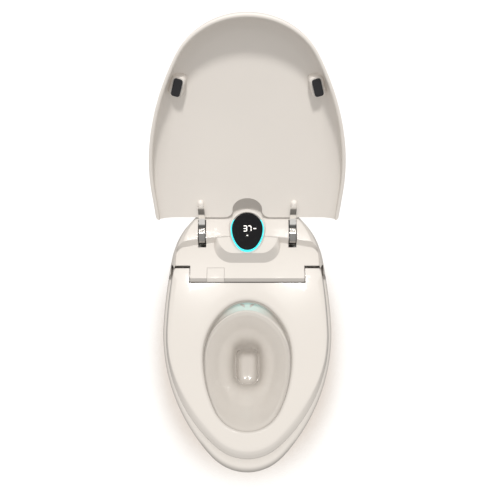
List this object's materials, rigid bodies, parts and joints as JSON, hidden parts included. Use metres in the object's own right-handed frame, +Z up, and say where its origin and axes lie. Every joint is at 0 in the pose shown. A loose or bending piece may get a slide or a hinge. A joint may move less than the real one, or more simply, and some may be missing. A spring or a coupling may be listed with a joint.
{
  "type": "smart toilet with heated seat",
  "caption": "Floor-standing smart toilet: glazed bowl, heated seat, open curved lid on polished arms, sloped top with an egg-shaped lit display.",
  "frame": {"origin": "centre of the waste outlet, at the floor", "axes": "+Z up, front of the bowl towards -Y, +X to the right as seen from the front"},
  "size_m": [0.425, 0.7469, 0.9277],
  "materials": {
    "ceramic": "glazed ceramic, glossy",
    "housing_plastic": "warm white, satin gloss",
    "cover_plastic": "warm white, satin gloss",
    "seat_plastic": "warm white, glossy",
    "seat_base_plastic": "warm white, matt",
    "lid_plastic": "warm white, satin gloss",
    "display_glass": "black, glossy",
    "ring_light": "lit teal diffuser",
    "polished_metal": "polished",
    "steel": "brushed",
    "bright_brass": "plated",
    "rubber_pad": "dark grey, textured",
    "soft_foot": "pale, soft",
    "inner_plastic": "light grey, matt",
    "dark_plastic": "dark grey, matt",
    "gear_plastic": "natural, matt",
    "board_green": "coated board",
    "foil": "thin foil",
    "socket_plastic": "grey, matt"
  },
  "bodies": {
    "base": {"ceramic_bowl": "ceramic", "outlet_socket": "socket_plastic", "fixing_nuts": "steel", "water_inlet": "bright_brass", "power_gland": "dark_plastic", "top_housing": "housing_plastic", "service_cover": "cover_plastic", "chassis": "inner_plastic", "chassis_bolts": "steel", "display_lens": "display_glass", "light_ring": "ring_light", "display_board": "board_green", "nozzle_housing": "inner_plastic", "wand_guide": "inner_plastic", "night_light": "ring_light", "wand_motors": "steel", "motor_cradles": "inner_plastic", "dryer_housing": "inner_plastic", "dryer_duct": "inner_plastic", "deodoriser_housing": "inner_plastic", "water_heater": "inner_plastic", "water_pump": "dark_plastic", "inlet_valve": "dark_plastic", "refill_bottle": "inner_plastic", "power_supply": "dark_plastic", "control_board": "board_green", "lid_damper_left": "dark_plastic", "seat_damper_left": "dark_plastic", "lid_damper_right": "dark_plastic", "seat_damper_right": "dark_plastic"},
    "lid": {"lid_shell": "lid_plastic", "lid_arm_left": "polished_metal", "lid_arm_right": "polished_metal", "lid_bumper_left": "rubber_pad", "lid_bumper_right": "rubber_pad", "lid_hinge_pins": "steel"},
    "seat": {"seat_cover": "seat_plastic", "seat_base": "seat_base_plastic", "seat_heater": "foil", "seat_feet": "soft_foot", "seat_hinge_pins": "steel"},
    "rear_wand": {"wand_left": "inner_plastic"},
    "front_wand": {"wand_right": "inner_plastic"},
    "rear_pinion": {"wand_pinion_left": "gear_plastic"},
    "front_pinion": {"wand_pinion_right": "gear_plastic"},
    "dryer_wheel": {"dryer_impeller": "dark_plastic"},
    "deodoriser_wheel": {"deodoriser_impeller": "dark_plastic"}
  },
  "joints": [
    {"name": "lid_hinge", "type": "hinge", "parent": "base", "child": "lid", "pos_m": [0, 0.121, 0.437], "axis": [-1, 0, 0], "range_deg": [-115.5, 0]},
    {"name": "seat_hinge", "type": "hinge", "parent": "base", "child": "seat", "pos_m": [0, 0.028, 0.42], "axis": [-1, 0, 0], "range_deg": [0, 93]},
    {"name": "rear_wand_slide", "type": "slide", "parent": "base", "child": "rear_wand", "axis": [0, -0.9703, -0.2419], "range_m": [0, 0.052]},
    {"name": "front_wand_slide", "type": "slide", "parent": "base", "child": "front_wand", "axis": [0, -0.9703, -0.2419], "range_m": [0, 0.052]},
    {"name": "rear_pinion_spin", "type": "hinge", "parent": "base", "child": "rear_pinion", "pos_m": [-0.013, 0.03216, 0.41373], "axis": [-1, 0, 0], "range_deg": [0, 497]},
    {"name": "front_pinion_spin", "type": "hinge", "parent": "base", "child": "front_pinion", "pos_m": [0.013, 0.03216, 0.41373], "axis": [-1, 0, 0], "range_deg": [0, 497]},
    {"name": "dryer_spin", "type": "hinge", "parent": "base", "child": "dryer_wheel", "pos_m": [0.11, 0.068, 0.41], "axis": [0, 0, 1], "continuous": true},
    {"name": "deodoriser_spin", "type": "hinge", "parent": "base", "child": "deodoriser_wheel", "pos_m": [-0.11, 0.068, 0.41], "axis": [0, 0, 1], "continuous": true}
  ],
  "couplings": [
    {"joint": "rear_pinion_spin", "follows": "rear_wand_slide", "rad_per_m": 166.67},
    {"joint": "front_pinion_spin", "follows": "front_wand_slide", "rad_per_m": 166.67}
  ]
}
